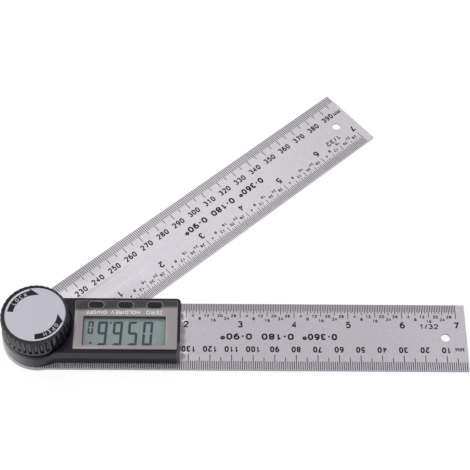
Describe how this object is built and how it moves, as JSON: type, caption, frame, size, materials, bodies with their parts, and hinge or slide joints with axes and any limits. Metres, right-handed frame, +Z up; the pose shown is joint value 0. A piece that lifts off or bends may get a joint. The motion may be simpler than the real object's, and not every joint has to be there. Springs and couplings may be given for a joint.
{
  "type": "digital angle finder with arms",
  "caption": "Angle finder with a pair of flat steel scale arms on one pivot, a display housing on one arm and a fluted clamp knob over the pivot.",
  "frame": {"origin": "where the pivot axis meets the flat underside of the swing arm", "axes": "+X along the base arm to its far end, +Z up along the pivot axis towards the knob, +Y towards the side to which the swing arm opens"},
  "size_m": [0.2175, 0.1614, 0.0228],
  "materials": {
    "scale_steel": "fine brushed stainless steel with black etched scales",
    "fastener_steel": "plain bright steel",
    "spring_steel": "thin plated spring steel",
    "brass": "turned brass",
    "black_plastic": "moulded satin black",
    "button_plastic": "satin black",
    "panel_gloss": "glossy taupe face plate with a bright edge",
    "label_silver": "matt silver disc with printed arrows",
    "lcd_glass": "grey green reflective display",
    "lens_clear": "clear",
    "board_green": "green circuit board",
    "connector_rubber": "soft grey striped rubber",
    "ribbon_amber": "amber film"
  },
  "bodies": {
    "base": {"base_arm": "scale_steel", "pivot_bush": "brass", "stator_disc": "board_green", "encoder_ribbon": "ribbon_amber", "housing_tray": "black_plastic", "housing_shell": "black_plastic", "circuit_board": "board_green", "housing_screw_1": "fastener_steel", "housing_screw_2": "fastener_steel", "housing_screw_3": "fastener_steel", "housing_screw_4": "fastener_steel", "board_screw_1": "fastener_steel", "board_screw_2": "fastener_steel", "board_screw_3": "fastener_steel", "board_screw_4": "fastener_steel", "dome_switch_power": "spring_steel", "dome_switch_hold": "spring_steel", "dome_switch_zero": "spring_steel", "lcd_frame": "black_plastic", "lcd_connector": "connector_rubber", "lcd_panel": "lcd_glass", "window_lens": "lens_clear", "display_panel": "panel_gloss", "coin_cell": "spring_steel", "battery_contact_negative": "spring_steel", "battery_contact_positive": "spring_steel"},
    "swing": {"swing_arm": "scale_steel", "pivot_bolt": "fastener_steel", "arm_spacer": "spring_steel", "rotor_disc": "board_green", "wave_washer": "spring_steel", "clamp_washer": "spring_steel"},
    "knob": {"lock_knob": "black_plastic", "knob_insert": "brass", "knob_label": "label_silver"},
    "button_power": {"button_power": "button_plastic"},
    "button_hold": {"button_hold": "button_plastic"},
    "button_zero": {"button_zero": "button_plastic"},
    "battery_cover": {"battery_cover": "black_plastic"}
  },
  "joints": [
    {"name": "swing_pivot", "type": "hinge", "parent": "base", "child": "swing", "pos_m": [0, 0, 0.0006], "axis": [0, 0, 1], "continuous": true},
    {"name": "lock_knob_turn", "type": "hinge", "parent": "swing", "child": "knob", "pos_m": [0, 0, 0.0165], "axis": [0, 0, 1], "range_deg": [0, 180]},
    {"name": "button_power_press", "type": "slide", "parent": "base", "child": "button_power", "axis": [0, 0, -1], "range_m": [0, 0.0004], "stiffness_N_per_m": 1500, "springref_m": -0.0002},
    {"name": "button_hold_press", "type": "slide", "parent": "base", "child": "button_hold", "axis": [0, 0, -1], "range_m": [0, 0.0004], "stiffness_N_per_m": 1500, "springref_m": -0.0002},
    {"name": "button_zero_press", "type": "slide", "parent": "base", "child": "button_zero", "axis": [0, 0, -1], "range_m": [0, 0.0004], "stiffness_N_per_m": 1500, "springref_m": -0.0002},
    {"name": "battery_cover_turn", "type": "hinge", "parent": "base", "child": "battery_cover", "pos_m": [0.0404, 0, 0.0023], "axis": [0, 0, -1], "range_deg": [0, 60]}
  ]
}
